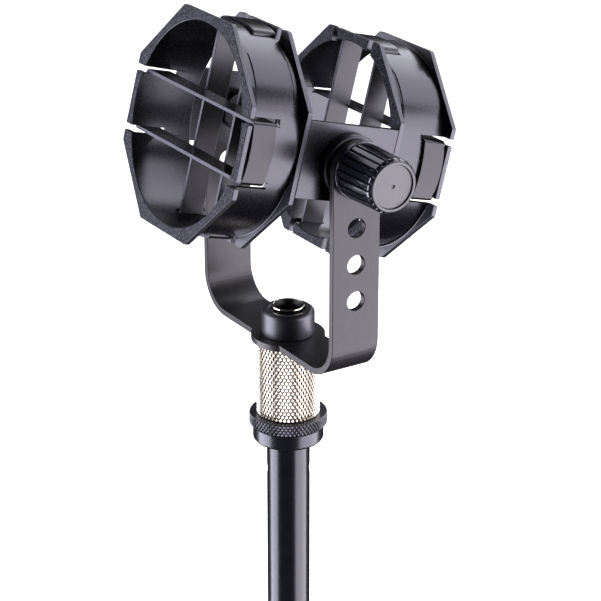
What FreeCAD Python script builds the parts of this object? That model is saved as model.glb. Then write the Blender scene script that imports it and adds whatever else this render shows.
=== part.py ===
import FreeCAD, Part
import math
import os

import Sketcher

# A microphone shock mount on the top of a stand tube, in millimetres.
# Row frame: +Z up the stand, origin at the centre of the tube's plain lower end, +Y away from the
# hand knob. The cradle's own frame has its origin on the tilt axis and +X along the microphone's axis.

SHEET = "Sizes"

DRIVING_SIZES = (
    # stand
    ("tube_diameter", 16.8),
    ("tube_wall", 1.2),
    ("tube_length", 98.4),
    ("crimp_height", 85.1),
    ("crimp_depth", 0.75),
    ("crimp_ball", 2.6),
    ("crimp_angle", -32.0),
    ("collar_diameter", 27.5),
    ("collar_height", 6.2),
    ("collar_round", 1.4),
    ("collar_edge", 0.3),
    ("spigot_length", 20.0),
    ("stud_length", 24.0),
    ("thread_diameter", 15.875),
    ("thread_pitch", 0.941),
    ("thread_depth", 0.5),
    ("thread_neck", 1.6),
    ("lock_ring_diameter", 30.5),
    ("lock_ring_height", 5.2),
    ("lock_ring_chamfer", 1.0),
    ("edge_break", 0.3),
    # clearances
    ("turning_gap", 0.15),
    ("shaft_clearance", 0.06),
    ("seat_clearance", 0.05),
    # adapter
    ("barrel_diameter", 24.5),
    ("barrel_height", 29.7),
    ("barrel_thread_depth", 22.0),
    ("neck_diameter", 11.4),
    ("neck_bore", 9.6),
    ("neck_flare", 12.7),
    ("neck_mouth", 11.0),
    ("neck_flare_height", 2.0),
    ("neck_rise", 1.4),
    ("washer_thickness", 0.5),
    ("washer_diameter", 22.0),
    ("cap_diameter", 20.4),
    ("cap_height", 9.85),
    ("cap_chamfer", 1.3),
    ("cap_mouth", 13.2),
    ("cap_mouth_depth", 1.8),
    ("cap_pocket", 17.0),
    ("cap_pocket_depth", 1.6),
    ("spring_thickness", 0.5),
    ("spring_rise", 0.7),
    # yoke
    ("yoke_base", 140.4),
    ("strap_thickness", 2.55),
    ("strap_width", 20.0),
    ("yoke_span", 93.0),
    ("bend_radius", 15.0),
    ("pad_diameter", 28.4),
    ("pivot_height", 221.9),
    ("arm_hole", 7.2),
    ("arm_first_drop", 22.2),
    ("arm_hole_pitch", 14.0),
    # cradle
    ("tilt_angle", 14.8),
    ("across_flats", 80.2),
    ("ring_gap", 38.2),
    ("ring_depth", 25.6),
    ("flange_thickness", 2.05),
    ("wall_outer", 77.4),
    ("wall_inner", 74.0),
    ("flange_bevel", 0.5),
    ("slot_width", 2.7),
    ("outer_slot_offset", 11.3),
    ("inner_slot_offset", 11.5),
    ("front_slot_reach", 15.0),
    ("rear_slot_reach", 13.0),
    ("inner_slot_reach", 14.0),
    ("panel_height", 0.35),
    ("panel_start", 23.0),
    ("panel_end", 66.0),
    ("panel_margin", 3.2),
    ("band_width", 9.4),
    ("band_thickness", 1.3),
    ("band_corner", 1.8),
    ("outer_chord_offset", 10.7),
    ("inner_chord_offset", 11.2),
    ("front_band_inset", 1.25),
    ("rear_band_inset", 0.3),
    ("front_inner_inset", 1.3),
    ("rear_inner_inset", 1.8),
    # side plates
    ("plate_height", 28.0),
    ("plate_thickness", 2.8),
    ("tenon_length", 1.0),
    ("tenon_height", 20.0),
    ("tenon_thickness", 1.1),
    ("tenon_depth", 0.85),
    ("boss_diameter", 15.0),
    ("boss_height", 4.2),
    # tilt pivot
    ("insert_diameter", 8.0),
    ("insert_length", 6.6),
    ("pivot_thread", 5.0),
    ("spacer_diameter", 23.0),
    ("spacer_thickness", 3.7),
    ("spacer_round", 0.8),
    ("knob_washer_diameter", 18.0),
    ("knob_washer_thickness", 1.0),
    ("skirt_diameter", 21.4),
    ("skirt_thickness", 1.5),
    ("knob_diameter", 20.8),
    ("knob_end_diameter", 20.0),
    ("knob_length", 21.65),
    ("knob_end_chamfer", 1.2),
    ("knob_cap_diameter", 15.6),
    ("knob_cap_thickness", 1.6),
    ("knob_cap_dimple", 1.0),
    ("knob_socket", 10.0),
    ("flute_radius", 0.9),
    ("flute_depth", 0.8),
    ("screw_reach", 6.0),
    ("screw_head_diameter", 9.5),
    ("screw_head_height", 2.75),
    ("screw_socket", 3.0),
    ("screw_socket_depth", 1.8),
    ("pivot_washer_diameter", 15.0),
    ("pivot_washer_thickness", 1.2),
)

FLUTE_COUNT = 24
ARM_HOLE_COUNT = 3
THREAD_GROOVE_COUNT = 22
FLAT_COUNT = 8
CUT_MARGIN = 5.0  # how far a cutting tool runs past the solid it cuts
MATCH = 1e-4  # two lengths closer than this are the same

doc = FreeCAD.newDocument("ShockMount")
sheet = doc.addObject("Spreadsheet::Sheet", SHEET)
for row, (alias, value) in enumerate(DRIVING_SIZES, start=1):
    sheet.set(f"A{row}", alias)
    sheet.set(f"B{row}", str(value))
    sheet.setAlias(f"B{row}", alias)
doc.recompute()


class Size:
    """A length or an angle that knows its number and the sheet expression it comes from."""

    def __init__(self, value, text):
        self.value = value
        self.text = text

    def combine(self, other, sign, value):
        text = other.text if isinstance(other, Size) else repr(float(other))
        return Size(value, f"({self.text} {sign} {text})")

    def __add__(self, other):
        return self.combine(other, "+", self.value + number(other))

    def __sub__(self, other):
        return self.combine(other, "-", self.value - number(other))

    def __mul__(self, other):
        return self.combine(other, "*", self.value * number(other))

    def __truediv__(self, other):
        return self.combine(other, "/", self.value / number(other))

    def __neg__(self):
        return Size(-self.value, f"(0 - {self.text})")


def number(size):
    """The plain number of a Size or of a number."""
    return size.value if isinstance(size, Size) else float(size)


def cell(alias):
    """The Size held by one cell of the sheet."""
    return Size(float(sheet.get(alias)), f"{SHEET}.{alias}")


def bind(thing, name, size):
    """Give a property its value and tie it to the sheet."""
    if isinstance(size, Size):
        thing.setExpression(name, size.text)
    else:
        setattr(thing, name, size)


# Sizes that several pieces share.
gap = cell("turning_gap")
tube_radius = cell("tube_diameter") / 2
tube_bore_radius = tube_radius - cell("tube_wall")
tube_top = cell("tube_length")
collar_top = tube_top + cell("collar_height")
thread_radius = cell("thread_diameter") / 2
tapped_radius = thread_radius + cell("shaft_clearance")
lock_ring_base = collar_top + gap
lock_ring_top = lock_ring_base + cell("lock_ring_height")
barrel_base = lock_ring_top + gap
barrel_top = barrel_base + cell("barrel_height")
neck_radius = cell("neck_diameter") / 2
neck_hole_radius = neck_radius + cell("shaft_clearance")
strap_base = cell("yoke_base")
strap_top = strap_base + cell("strap_thickness")
cap_base = strap_top + cell("seat_clearance") * 2
cap_top = cap_base + cell("cap_height")
arm_outer = cell("yoke_span") / 2
arm_inner = arm_outer - cell("strap_thickness")
pivot_height = cell("pivot_height")
apothem = cell("across_flats") / 2
ring_near = cell("ring_gap") / 2
ring_far = ring_near + cell("ring_depth")
wall_outer_radius = cell("wall_outer") / 2
wall_inner_radius = cell("wall_inner") / 2
spigot_radius = cell("arm_hole") / 2 - cell("shaft_clearance")
screw_radius = cell("pivot_thread") / 2
screw_hole_radius = screw_radius + cell("shaft_clearance")
plate_inner = apothem - cell("plate_thickness")
boss_end = plate_inner - cell("boss_height")
washer_seat = arm_outer + cell("seat_clearance") * 2
skirt_base = washer_seat + cell("knob_washer_thickness") + gap
knob_end = skirt_base + cell("knob_length")

finished = []


def keep(thing, label):
    """Name a finished sub-part; its label is its file's name."""
    thing.Label = label
    finished.append(thing)
    return thing


def new_body(label):
    return keep(doc.addObject("PartDesign::Body", label + "_body"), label)


def plane(body, role):
    """One of the body's own origin planes or axes, found by its role."""
    return next(item for item in body.Origin.OriginFeatures if item.Role == role)


def new_sketch(body, role, name, offset=None):
    """A sketch on one of the body's origin planes, moved along the plane's normal by offset."""
    sketch = body.newObject("Sketcher::SketchObject", name)
    sketch.AttachmentSupport = [(plane(body, role), "")]
    sketch.MapMode = "FlatFace"
    if offset is not None:
        sketch.setExpression("AttachmentOffset.Base.z", offset.text)
    return sketch


def constrain(sketch, kind, geometry, point, size):
    """Hold one coordinate of a point, measured from the sketch's origin."""
    if number(size) == 0.0:
        axis = -2 if kind == "DistanceX" else -1
        sketch.addConstraint(Sketcher.Constraint("PointOnObject", geometry, point, axis))
        return
    index = sketch.addConstraint(Sketcher.Constraint(kind, -1, 1, geometry, point, number(size)))
    if isinstance(size, Size):
        sketch.setExpression(f"Constraints[{index}]", size.text)


def draw_polygon(sketch, points):
    """A closed outline through points, each coordinate bound to the sheet."""
    vectors = [FreeCAD.Vector(number(u), number(v), 0) for u, v in points]
    count = len(vectors)
    first = sketch.GeometryCount
    for start, end in zip(vectors, vectors[1:] + vectors[:1]):
        sketch.addGeometry(Part.LineSegment(start, end), False)
    for i in range(count):
        following = first + (i + 1) % count
        sketch.addConstraint(Sketcher.Constraint("Coincident", first + i, 2, following, 1))
    for i, (u, v) in enumerate(points):
        constrain(sketch, "DistanceX", first + i, 1, u)
        constrain(sketch, "DistanceY", first + i, 1, v)


def draw_rectangle(sketch, low, high):
    """A rectangle between two opposite corners."""
    draw_polygon(sketch, [low, (high[0], low[1]), high, (low[0], high[1])])


def draw_circle(sketch, radius, centre=(0, 0)):
    """A circle, its radius and centre bound to the sheet."""
    middle = FreeCAD.Vector(number(centre[0]), number(centre[1]), 0)
    normal = FreeCAD.Vector(0, 0, 1)
    index = sketch.addGeometry(Part.Circle(middle, normal, number(radius)), False)
    held = sketch.addConstraint(Sketcher.Constraint("Radius", index, number(radius)))
    sketch.setExpression(f"Constraints[{held}]", radius.text)
    constrain(sketch, "DistanceX", index, 3, centre[0])
    constrain(sketch, "DistanceY", index, 3, centre[1])


def draw_octagon(sketch, half_width):
    """A regular octagon with a flat on each axis of the sketch."""
    side = half_width * math.tan(math.pi / FLAT_COUNT)
    draw_polygon(sketch, [
        (half_width, -side), (half_width, side), (side, half_width), (-side, half_width),
        (-half_width, side), (-half_width, -side), (-side, -half_width), (side, -half_width)])


def pad(body, sketch, length, name, midplane=False):
    """Raise a sketch along its normal."""
    feature = body.newObject("PartDesign::Pad", name)
    feature.Profile = sketch
    feature.Midplane = midplane
    bind(feature, "Length", length)
    doc.recompute()
    return feature


def cut(body, sketch, name, depth=None, midplane=False, reverse=False):
    """Cut a sketch out of the body, right through where no depth is given."""
    before = body.Shape.Volume
    feature = body.newObject("PartDesign::Pocket", name)
    feature.Profile = sketch
    feature.Midplane = midplane
    feature.Reversed = reverse
    if depth is None:
        feature.Type = "ThroughAll"
    else:
        bind(feature, "Length", depth)
    doc.recompute()
    if not body.Shape.Volume < before:
        raise RuntimeError(f"{name} cuts nothing from {body.Label}")
    return feature


def revolve(body, sketch, name):
    """Turn a sketch on the XZ plane about its upright axis."""
    feature = body.newObject("PartDesign::Revolution", name)
    feature.Profile = sketch
    feature.ReferenceAxis = (sketch, ["V_Axis"])
    feature.Angle = 360
    doc.recompute()
    return feature


def turned(label, outline):
    """A lathe-turned piece: outline holds (radius, height) points round its half section."""
    body = new_body(label)
    sketch = new_sketch(body, "XZ_Plane", label + "_section")
    draw_polygon(sketch, outline)
    revolve(body, sketch, label + "_turning")
    return body


def circle_edges(shape, radius, height):
    """Names of the full circular edges about the Z axis at one radius and height."""
    names = []
    for index, edge in enumerate(shape.Edges, start=1):
        curve = edge.Curve
        if isinstance(curve, Part.Circle) and abs(curve.Radius - number(radius)) < MATCH:
            if abs(curve.Center.z - number(height)) < MATCH:
                names.append(f"Edge{index}")
    return names


def round_off(body, radius, height, size, name):
    """Fillet one circular edge of a turned piece."""
    base = body.Tip
    feature = body.newObject("PartDesign::Fillet", name)
    feature.Base = (base, circle_edges(base.Shape, radius, height))
    bind(feature, "Radius", size)
    doc.recompute()
    return feature


def place_on_pivot(thing, side):
    """Lay a piece that was turned about Z along the tilt axis; side -1 is the knob's side."""
    thing.Placement = FreeCAD.Placement(FreeCAD.Vector(0, 0, 0),
                                        FreeCAD.Rotation(FreeCAD.Vector(1, 0, 0), -90 * side))
    thing.setExpression("Placement.Base.z", pivot_height.text)


def place_in_cradle(thing, turn=0):
    """Put a piece of the cradle on the tilt axis, tilted, after a turn about its own Z axis."""
    position = f"create(<<vector>>; 0; 0; {pivot_height.text})"
    tilt = f"create(<<rotation>>; create(<<vector>>; 0; 1; 0); {SHEET}.tilt_angle)"
    spin = f"create(<<rotation>>; create(<<vector>>; 0; 0; 1); {turn})"
    thing.setExpression("Placement", f"create(<<placement>>; {position}; {tilt} * {spin})")


def part_cylinder(name, radius, height):
    """A cylinder along Z, for the boolean pieces."""
    thing = doc.addObject("Part::Cylinder", name)
    bind(thing, "Radius", radius)
    bind(thing, "Height", height)
    return thing


# ---------------------------------------------------------------- stand

def make_stand_tube():
    """Plain tube, squeezed on to the stud's spigot by a crimp on each side."""
    outside = part_cylinder("tube_outside", tube_radius, tube_top)
    inside = part_cylinder("tube_inside", tube_bore_radius, tube_top)
    shell = doc.addObject("Part::Cut", "tube_shell")
    shell.Base = outside
    shell.Tool = inside
    crimps = []
    for index, turn in enumerate((0, 180)):
        ball = doc.addObject("Part::Sphere", f"crimp_{index + 1}")
        bind(ball, "Radius", cell("crimp_ball"))
        reach = tube_radius + cell("crimp_ball") - cell("crimp_depth")
        angle = cell("crimp_angle") + turn
        ball.setExpression("Placement.Base.x", f"{reach.text} * cos({angle.text} * 1 deg)")
        ball.setExpression("Placement.Base.y", f"{reach.text} * sin({angle.text} * 1 deg)")
        bind(ball, "Placement.Base.z", cell("crimp_height"))
        crimps.append(ball)
    both = doc.addObject("Part::MultiFuse", "crimps")
    both.Shapes = crimps
    tube = doc.addObject("Part::Cut", "crimped_tube")
    tube.Base = shell
    tube.Tool = both
    keep(tube, "stand_tube")


def make_stand_stud():
    """Spigot, collar and 5/8 in thread in one turned piece, the thread cut as plain rings."""
    spigot = tube_bore_radius - cell("seat_clearance")
    collar = cell("collar_diameter") / 2
    neck = thread_radius - cell("thread_depth") * 1.2
    neck_top = collar_top + cell("thread_neck")
    stud_top = collar_top + cell("stud_length")
    chamfer = cell("thread_depth")
    body = turned("stand_stud", [
        (0, tube_top - cell("spigot_length")),
        (spigot - chamfer, tube_top - cell("spigot_length")),
        (spigot, tube_top - cell("spigot_length") + chamfer),
        (spigot, tube_top),
        (collar, tube_top),
        (collar, collar_top - cell("collar_edge")),
        (collar - cell("collar_edge"), collar_top),
        (neck, collar_top),
        (neck, neck_top),
        (thread_radius, neck_top + chamfer),
        (thread_radius, stud_top - chamfer),
        (thread_radius - chamfer, stud_top),
        (0, stud_top)])
    round_off(body, collar, tube_top, cell("collar_round"), "collar_round")
    start = neck_top + chamfer
    outside = thread_radius + cell("seat_clearance")
    half = cell("thread_pitch") * 0.45
    sketch = new_sketch(body, "XZ_Plane", "thread_groove")
    root = thread_radius - cell("thread_depth")
    draw_polygon(sketch, [(outside, start), (root, start + half), (outside, start + half * 2)])
    groove = body.newObject("PartDesign::Groove", "first_groove")
    groove.Profile = sketch
    groove.ReferenceAxis = (sketch, ["V_Axis"])
    groove.Angle = 360
    doc.recompute()
    rows = body.newObject("PartDesign::LinearPattern", "thread_rows")
    rows.Originals = [groove]
    rows.Direction = (sketch, ["V_Axis"])
    rows.Mode = "Spacing"
    bind(rows, "Offset", cell("thread_pitch"))
    rows.Occurrences = THREAD_GROOVE_COUNT
    body.Tip = rows
    doc.recompute()


def make_lock_ring():
    """Knurled ring; its size is over the knurl's crests."""
    outer = cell("lock_ring_diameter") / 2
    chamfer = cell("lock_ring_chamfer")
    edge = cell("edge_break")
    turned("lock_ring", [
        (tapped_radius + edge, lock_ring_base),
        (outer - chamfer, lock_ring_base),
        (outer, lock_ring_base + chamfer),
        (outer, lock_ring_top - edge),
        (outer - edge, lock_ring_top),
        (tapped_radius + edge, lock_ring_top),
        (tapped_radius, lock_ring_top - edge),
        (tapped_radius, lock_ring_base + edge)])


# ---------------------------------------------------------------- adapter

def make_adapter_barrel():
    """Barrel tapped from below; its neck passes through the yoke and cap and is flared over."""
    outer = cell("barrel_diameter") / 2
    bore = cell("neck_bore") / 2
    edge = cell("edge_break")
    flare = cell("neck_flare") / 2
    mouth = cell("neck_mouth") / 2
    flare_top = cap_top + cell("neck_rise")
    flare_base = flare_top - cell("neck_flare_height")
    thread_end = barrel_base + cell("barrel_thread_depth")
    turned("adapter_barrel", [
        (tapped_radius + edge, barrel_base),
        (outer - edge, barrel_base),
        (outer, barrel_base + edge),
        (outer, barrel_top - edge),
        (outer - edge, barrel_top),
        (neck_radius, barrel_top),
        (neck_radius, flare_base),
        (flare, flare_top - edge),
        (flare - edge, flare_top),
        (mouth, flare_top),
        (bore, flare_base),
        (bore, thread_end),
        (tapped_radius, thread_end - edge),
        (tapped_radius, barrel_base + edge)])


def make_lower_washer():
    """Thin washer that the yoke turns on."""
    outer = cell("washer_diameter") / 2
    top = barrel_top + cell("washer_thickness")
    turned("lower_washer", [
        (neck_hole_radius, barrel_top), (outer, barrel_top), (outer, top), (neck_hole_radius, top)])


def make_swivel_spring():
    """Dished spring washer in the cap's pocket; it presses on the yoke."""
    inner = neck_hole_radius + cell("shaft_clearance")
    outer = cell("cap_pocket") / 2 - cell("shaft_clearance") * 3
    base = cap_base
    rise = cell("spring_rise")
    thick = cell("spring_thickness")
    turned("swivel_spring", [
        (inner, base + rise), (outer, base), (outer, base + thick), (inner, base + rise + thick)])


def make_swivel_cap():
    """Boss that the neck is flared over, pocketed below for the spring."""
    outer = cell("cap_diameter") / 2
    chamfer = cell("cap_chamfer")
    pocket = cell("cap_pocket") / 2
    pocket_top = cap_base + cell("cap_pocket_depth")
    mouth = cell("cap_mouth") / 2
    mouth_base = cap_top - cell("cap_mouth_depth")
    edge = cell("edge_break")
    body = turned("swivel_cap", [
        (pocket, cap_base),
        (outer - edge, cap_base),
        (outer, cap_base + edge),
        (outer, cap_top),
        (mouth, cap_top),
        (mouth, mouth_base + edge),
        (neck_hole_radius, mouth_base - edge),
        (neck_hole_radius, pocket_top),
        (pocket, pocket_top)])
    round_off(body, outer, cap_top, chamfer, "cap_round")


# ---------------------------------------------------------------- yoke

def make_yoke():
    """U-shaped strap with a round pad at its base and rounded, drilled arms."""
    body = new_body("yoke")
    thick = cell("strap_thickness")
    half_width = cell("strap_width") / 2
    arm_top = pivot_height + half_width
    section = new_sketch(body, "YZ_Plane", "yoke_section")
    draw_polygon(section, [
        (-arm_outer, strap_base), (arm_outer, strap_base), (arm_outer, arm_top), (arm_inner, arm_top),
        (arm_inner, strap_top), (-arm_inner, strap_top), (-arm_inner, arm_top), (-arm_outer, arm_top)])
    strap = pad(body, section, cell("strap_width"), "strap", midplane=True)
    for name, side, level, radius in (
            ("outer_bends", arm_outer, strap_base, cell("bend_radius")),
            ("inner_bends", arm_inner, strap_top, cell("bend_radius") - thick)):
        corners = []
        for index, edge in enumerate(body.Tip.Shape.Edges, start=1):
            middle = edge.CenterOfMass
            if abs(abs(middle.y) - number(side)) < MATCH and abs(middle.z - number(level)) < MATCH:
                if edge.Length > number(half_width):
                    corners.append(f"Edge{index}")
        bends = body.newObject("PartDesign::Fillet", name)
        bends.Base = (strap, corners)
        bind(bends, "Radius", radius)
        doc.recompute()
        strap = bends

    round_pad = new_sketch(body, "XY_Plane", "pad_outline", strap_base)
    draw_circle(round_pad, cell("pad_diameter") / 2)
    pad(body, round_pad, thick, "round_pad")

    neck_hole = new_sketch(body, "XY_Plane", "neck_hole_outline", strap_base)
    draw_circle(neck_hole, neck_hole_radius)
    cut(body, neck_hole, "neck_hole", thick, reverse=True)

    holes = new_sketch(body, "XZ_Plane", "arm_hole_outlines")
    hole_radius = cell("arm_hole") / 2
    draw_circle(holes, hole_radius, (0, pivot_height))
    for index in range(ARM_HOLE_COUNT):
        drop = cell("arm_first_drop") + cell("arm_hole_pitch") * index
        draw_circle(holes, hole_radius, (0, pivot_height - drop))
    cut(body, holes, "arm_holes", midplane=True)

    # What is left outside a half circle is trimmed off each arm's end.
    trim = new_sketch(body, "XZ_Plane", "arm_end_outline")
    over = half_width + CUT_MARGIN
    top = arm_top + CUT_MARGIN
    corner = FreeCAD.Vector(-number(half_width), number(pivot_height), 0)
    crown = FreeCAD.Vector(0, number(arm_top), 0)
    far_corner = FreeCAD.Vector(number(half_width), number(pivot_height), 0)
    trim.addGeometry(Part.Arc(corner, crown, far_corner), False)
    bounds = [far_corner, FreeCAD.Vector(number(over), number(pivot_height), 0),
              FreeCAD.Vector(number(over), number(top), 0), FreeCAD.Vector(-number(over), number(top), 0),
              FreeCAD.Vector(-number(over), number(pivot_height), 0), corner]
    for start, end in zip(bounds, bounds[1:]):
        trim.addGeometry(Part.LineSegment(start, end), False)
    for index in range(1, 5):
        trim.addConstraint(Sketcher.Constraint("Coincident", index, 2, index + 1, 1))
    constrain(trim, "DistanceX", 0, 3, 0)
    constrain(trim, "DistanceY", 0, 3, pivot_height)
    trim.addConstraint(Sketcher.Constraint("Coincident", 0, 1, 1, 1))
    trim.addConstraint(Sketcher.Constraint("Coincident", 0, 2, 5, 2))
    constrain(trim, "DistanceY", 5, 2, pivot_height)
    for geometry, u, v in ((1, half_width, pivot_height), (2, over, pivot_height), (3, over, top),
                           (4, -over, top), (5, -over, pivot_height)):
        constrain(trim, "DistanceX", geometry, 1, u)
        constrain(trim, "DistanceY", geometry, 1, v)
    cut(body, trim, "arm_ends", midplane=True)


# ---------------------------------------------------------------- cradle

def make_ring(label, outer_slot_reach, turn):
    """Moulded ring: a round wall between two octagonal flanges, slotted for the bands."""
    body = new_body(label)
    wall = new_sketch(body, "YZ_Plane", label + "_wall_outline", ring_near)
    draw_circle(wall, wall_outer_radius)
    draw_circle(wall, wall_inner_radius)
    pad(body, wall, cell("ring_depth"), label + "_wall")

    mid_wall = (wall_inner_radius + wall_outer_radius) / 2
    for name, offset in (("near", ring_near), ("far", ring_far - cell("flange_thickness"))):
        outline = new_sketch(body, "YZ_Plane", f"{label}_{name}_outline", offset)
        draw_octagon(outline, apothem)
        draw_circle(outline, mid_wall)
        pad(body, outline, cell("flange_thickness"), f"{label}_{name}_flange")

    flanged = body.Tip
    rims = [f"Edge{index}" for index, edge in enumerate(flanged.Shape.Edges, start=1)
            if isinstance(edge.Curve, Part.Circle)
            and abs(edge.Curve.Radius - number(wall_inner_radius)) < MATCH
            and min(abs(edge.Curve.Center.x - number(face)) for face in (ring_near, ring_far)) < MATCH]
    bevel = body.newObject("PartDesign::Chamfer", label + "_mouth_bevel")
    bevel.Base = (flanged, rims)
    bind(bevel, "Size", cell("flange_bevel"))
    doc.recompute()

    # Raised panels on the two upper slopes.
    panel_face = wall_outer_radius + cell("panel_height")
    margin = cell("flange_thickness") + cell("panel_margin")
    for name, mirror in (("right", -1), ("left", 1)):
        outline = new_sketch(body, "YZ_Plane", f"{label}_{name}_panel_outline", ring_near + margin)
        angles = [number(cell(alias)) for alias in ("panel_start", "panel_end")]
        inner = number(wall_outer_radius) - number(cell("panel_height"))
        corners = []
        for radius in (inner, number(panel_face)):
            for angle in (angles[0], sum(angles) / 2, angles[1]):
                turned_angle = math.radians(angle)
                corners.append(FreeCAD.Vector(mirror * radius * math.cos(turned_angle),
                                              radius * math.sin(turned_angle), 0))
        outline.addGeometry(Part.Arc(*corners[:3]), False)
        outline.addGeometry(Part.LineSegment(corners[2], corners[5]), False)
        outline.addGeometry(Part.Arc(*reversed(corners[3:])), False)
        outline.addGeometry(Part.LineSegment(corners[3], corners[0]), False)
        pad(body, outline, cell("ring_depth") - margin * 2, f"{label}_{name}_panel")

    half_slot = cell("slot_width") / 2
    for name, role, start, end in (
            ("outer", "XZ_Plane", ring_far - outer_slot_reach, ring_far + CUT_MARGIN),
            ("inner", "XY_Plane", ring_near - CUT_MARGIN, ring_near + cell("inner_slot_reach"))):
        low = cell(name + "_slot_offset") - half_slot
        high = cell(name + "_slot_offset") + half_slot
        slots = new_sketch(body, role, f"{label}_{name}_slot_outlines")
        draw_rectangle(slots, (start, low), (end, high))
        draw_rectangle(slots, (start, -high), (end, -low))
        cut(body, slots, f"{label}_{name}_slots", midplane=True)

    # Blind mortises for the side plates' tenons.
    clearance = cell("seat_clearance")
    near_side = apothem - cell("tenon_depth") + clearance
    far_side = apothem - cell("tenon_depth") - cell("tenon_thickness") - clearance
    half_height = cell("tenon_height") / 2 + clearance
    mortises = new_sketch(body, "YZ_Plane", label + "_mortise_outlines", ring_near)
    draw_rectangle(mortises, (far_side, -half_height), (near_side, half_height))
    draw_rectangle(mortises, (-near_side, -half_height), (-far_side, half_height))
    cut(body, mortises, label + "_mortises", cell("tenon_length") + clearance, reverse=True)
    place_in_cradle(body, turn)


def make_side_plate(label, side):
    """Flat plate keyed into both rings, with a boss inside for the pivot's insert."""
    body = new_body(label)
    half_height = cell("plate_height") / 2
    outer = apothem * side
    inner = plate_inner * side
    outline = new_sketch(body, "YZ_Plane", label + "_outline")
    draw_rectangle(outline, (outer, -half_height), (inner, half_height))
    pad(body, outline, cell("ring_gap"), label + "_panel", midplane=True)

    tenon_outer = (apothem - cell("tenon_depth")) * side
    tenon_inner = (apothem - cell("tenon_depth") - cell("tenon_thickness")) * side
    tenon_half = cell("tenon_height") / 2
    tenons = new_sketch(body, "YZ_Plane", label + "_tenon_outline")
    draw_rectangle(tenons, (tenon_outer, -tenon_half), (tenon_inner, tenon_half))
    pad(body, tenons, cell("ring_gap") + cell("tenon_length") * 2, label + "_tenons", midplane=True)

    # The XZ plane's normal is -Y, so one boss is raised from the plate and the other towards it.
    boss_start = (apothem - cell("plate_thickness") / 2 if side > 0 else boss_end) * -side
    boss = new_sketch(body, "XZ_Plane", label + "_boss_outline", boss_start)
    draw_circle(boss, cell("boss_diameter") / 2)
    pad(body, boss, cell("boss_height") + cell("plate_thickness") / 2, label + "_boss")

    hole = new_sketch(body, "XZ_Plane", label + "_insert_hole_outline")
    draw_circle(hole, cell("insert_diameter") / 2)
    cut(body, hole, label + "_insert_hole", midplane=True)
    place_in_cradle(body)


def make_insert(label, side):
    """Brass insert pressed into a side plate's boss."""
    outer = cell("insert_diameter") / 2
    start = apothem - cell("insert_length")
    edge = cell("edge_break")
    body = turned(label, [
        (screw_hole_radius + edge, start),
        (outer - edge, start),
        (outer, start + edge),
        (outer, apothem),
        (screw_hole_radius, apothem),
        (screw_hole_radius, start + edge)])
    place_on_pivot(body, side)


def make_spacer(label, side):
    """Disc between side plate and arm; its spigot is the bearing in the arm's hole."""
    outer = cell("spacer_diameter") / 2
    face = apothem + cell("spacer_thickness")
    spigot_end = arm_outer - cell("edge_break")
    body = turned(label, [
        (screw_hole_radius, apothem),
        (outer, apothem),
        (outer, face),
        (spigot_radius, face),
        (spigot_radius, spigot_end),
        (screw_hole_radius, spigot_end)])
    round_off(body, outer, face, cell("spacer_round"), label + "_round")
    place_on_pivot(body, side)


def make_band(label, start, chord_offset, upright, turn):
    """Elastic loop: two flat chords across the ring, wrapped round the wall outside."""
    half_band = cell("band_thickness") / 2
    wrap = wall_outer_radius + cell("seat_clearance")
    loops = []
    for name, offset, radius in (("outside", half_band, wrap + cell("band_thickness")),
                                 ("inside", -half_band, wrap)):
        half_height = chord_offset + offset
        slab = doc.addObject("Part::Box", f"{label}_{name}_slab")
        bind(slab, "Length", cell("band_width"))
        spread = radius * 2
        across, height = (half_height * 2, spread) if upright else (spread, half_height * 2)
        bind(slab, "Width", across)
        bind(slab, "Height", height)
        bind(slab, "Placement.Base.x", start)
        bind(slab, "Placement.Base.y", -across / 2)
        bind(slab, "Placement.Base.z", -height / 2)
        drum = doc.addObject("Part::Cylinder", f"{label}_{name}_drum")
        bind(drum, "Radius", radius)
        bind(drum, "Height", cell("band_width"))
        drum.Placement = FreeCAD.Placement(FreeCAD.Vector(0, 0, 0),
                                           FreeCAD.Rotation(FreeCAD.Vector(0, 1, 0), 90))
        bind(drum, "Placement.Base.x", start)
        loop = doc.addObject("Part::Common", f"{label}_{name}_loop")
        loop.Base = slab
        loop.Tool = drum
        loops.append(loop)
    outside, inside = loops
    doc.recompute()
    corner = number(cell("band_corner"))
    rounded = doc.addObject("Part::Fillet", label + "_rounded")
    rounded.Base = outside
    rounded.Edges = [(index, corner, corner) for index, edge in enumerate(outside.Shape.Edges, start=1)
                     if isinstance(edge.Curve, Part.Line)
                     and abs(abs(edge.Curve.Direction.x) - 1) < MATCH]
    band = doc.addObject("Part::Cut", label + "_band")
    band.Base = rounded
    band.Tool = inside
    keep(band, label)
    place_in_cradle(band, turn)


# ---------------------------------------------------------------- pivot hardware

def make_washer(label, diameter, start, thickness, side):
    """Plain washer outside an arm."""
    outer = diameter / 2
    edge = cell("edge_break") / 2
    end = start + thickness
    body = turned(label, [
        (screw_hole_radius, start), (outer, start), (outer, end - edge), (outer - edge, end),
        (screw_hole_radius, end)])
    place_on_pivot(body, side)


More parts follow.
